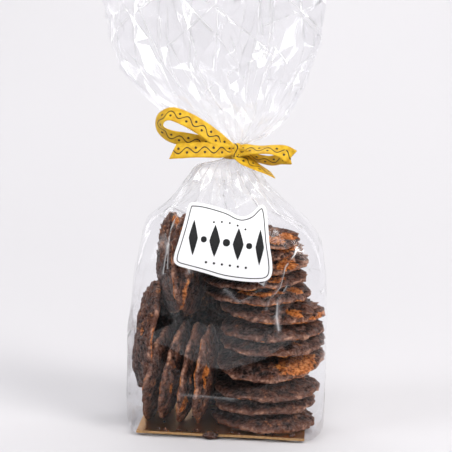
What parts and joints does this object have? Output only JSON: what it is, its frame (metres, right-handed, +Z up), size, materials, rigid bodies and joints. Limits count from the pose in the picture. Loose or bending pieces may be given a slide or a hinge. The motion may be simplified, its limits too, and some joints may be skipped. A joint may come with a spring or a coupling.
{
  "type": "bag of florentine cookies",
  "caption": "Clear block-bottom gift bag of stacked chocolate florentine cookies, gathered at the neck and tied with a yellow ribbon bow, with a white sticker on the front.",
  "frame": {"origin": "middle of the flat base that the bag stands on", "axes": "+Z up from the base to the mouth, the front with the sticker faces -Y, +X to the right seen from the front"},
  "size_m": [0.1223, 0.065, 0.245],
  "materials": {
    "clear_film": "clear biaxial polypropylene film, glossy and crumpled",
    "yellow_ribbon": "woven satin ribbon with a dark printed wave",
    "white_sticker": "white paper sticker with a thin dark line and plain shapes"
  },
  "bodies": {
    "root": {"bag": "clear_film", "ribbon": "yellow_ribbon", "label": "white_sticker"}
  },
  "joints": []
}
